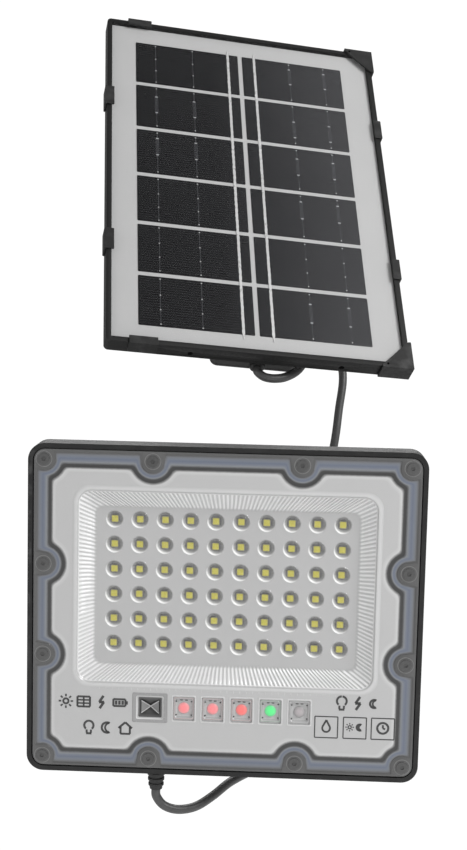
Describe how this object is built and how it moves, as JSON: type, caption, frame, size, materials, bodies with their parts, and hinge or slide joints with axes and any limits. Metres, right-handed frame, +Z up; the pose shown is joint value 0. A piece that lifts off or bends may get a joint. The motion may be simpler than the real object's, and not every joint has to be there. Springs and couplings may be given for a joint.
{
  "type": "solar flood light",
  "caption": "Square LED flood lamp on a tilting U-bracket, wired to a separate solar panel on a swivelling wall arm, with spare cable coiled on the bracket.",
  "frame": {"origin": "middle of the lamp bracket's wall holes, on the wall's plane", "axes": "+Z up, -Y out of the wall the way the lamp faces, +X to the viewer's right"},
  "size_m": [0.21, 0.173, 0.4721],
  "materials": {
    "housing_black": "fine matte grain",
    "gasket_grey": "matte",
    "lens_clear": "clear, slightly frosted",
    "reflector_white": "satin white",
    "pcb_white": "white solder mask",
    "led_phosphor": "yellow phosphor",
    "spreader_metal": "plain",
    "screw_steel": "plain",
    "dark_screw": "blackened",
    "pcb_green": "green solder mask",
    "indicator_clear": "clear epoxy",
    "ir_window": "dark epoxy",
    "battery_wrap": "blue shrink wrap over a steel can",
    "cradle_plastic": "plain",
    "ferrite": "copper winding on ferrite",
    "chip_black": "plain",
    "gland_black": "plain",
    "bracket_black": "black powder coat",
    "washer_steel": "plain",
    "frame_black": "fine matte grain",
    "backsheet_white": "satin",
    "cell_blue_black": "dark anti-reflective silicon",
    "ribbon_tin": "tinned copper",
    "front_sheet": "clear, slightly textured",
    "clip_black": "matte",
    "cable_black": "semi-gloss PVC jacket",
    "tie_black": "nylon",
    "connector_black": "plain"
  },
  "bodies": {
    "bracket": {"u_bracket": "bracket_black", "wall_plate": "bracket_black", "swivel_bolt": "screw_steel", "swivel_nut": "washer_steel", "panel_lead_lower": "cable_black", "panel_lead_end": "cable_black", "cable_coil": "cable_black", "coil_tie_side": "tie_black", "coil_tie_bottom": "tie_black", "plug": "connector_black", "plug_nut": "connector_black", "socket": "connector_black", "lamp_lead": "cable_black"},
    "lamp": {"rear_housing": "housing_black", "lens_gasket": "gasket_grey", "front_lens": "lens_clear", "reflector_plate": "reflector_white", "led_board": "pcb_white", "leds": "led_phosphor", "heat_spreader": "spreader_metal", "spreader_screws": "screw_steel", "indicator_board": "pcb_green", "indicator_leds": "indicator_clear", "ir_receiver": "ir_window", "battery_cells": "battery_wrap", "battery_cradle": "cradle_plastic", "cradle_screws": "screw_steel", "control_board": "pcb_green", "charge_inductor": "ferrite", "driver_parts": "chip_black", "board_screws": "screw_steel", "lens_screws": "dark_screw", "lamp_gland": "gland_black", "lamp_pivot_bolts": "screw_steel", "lamp_pivot_washers": "washer_steel"},
    "arm": {"bracket_arm": "bracket_black", "arm_cable_tie": "tie_black", "panel_lead_upper": "cable_black"},
    "panel": {"panel_frame": "frame_black", "panel_backsheet": "backsheet_white", "solar_cells": "cell_blue_black", "cell_ribbons": "ribbon_tin", "panel_front_sheet": "front_sheet", "laminate_clips": "clip_black", "corner_caps": "clip_black", "junction_box": "gland_black", "junction_lid": "gland_black", "junction_lid_screws": "screw_steel", "diode_board": "pcb_green", "panel_gland": "gland_black", "panel_bracket": "bracket_black", "panel_bracket_screws": "screw_steel", "tilt_bolt": "screw_steel", "tilt_wing_nut": "washer_steel"}
  },
  "joints": [
    {"name": "lamp_tilt", "type": "hinge", "parent": "bracket", "child": "lamp", "pos_m": [0, -0.1, 0], "axis": [1, 0, 0], "range_deg": [-30, 25], "deforming": ["lamp_lead"]},
    {"name": "panel_swivel", "type": "hinge", "parent": "bracket", "child": "arm", "pos_m": [-0.015, -0.032, 0.228], "axis": [0, 0, 1], "range_deg": [-50, 20], "deforming": ["panel_lead_lower"]},
    {"name": "panel_tilt", "type": "hinge", "parent": "arm", "child": "panel", "pos_m": [-0.00298, -0.07847, 0.228], "axis": [0.9681, 0.2504, 0], "range_deg": [-20, 25], "deforming": ["panel_lead_upper"]}
  ]
}
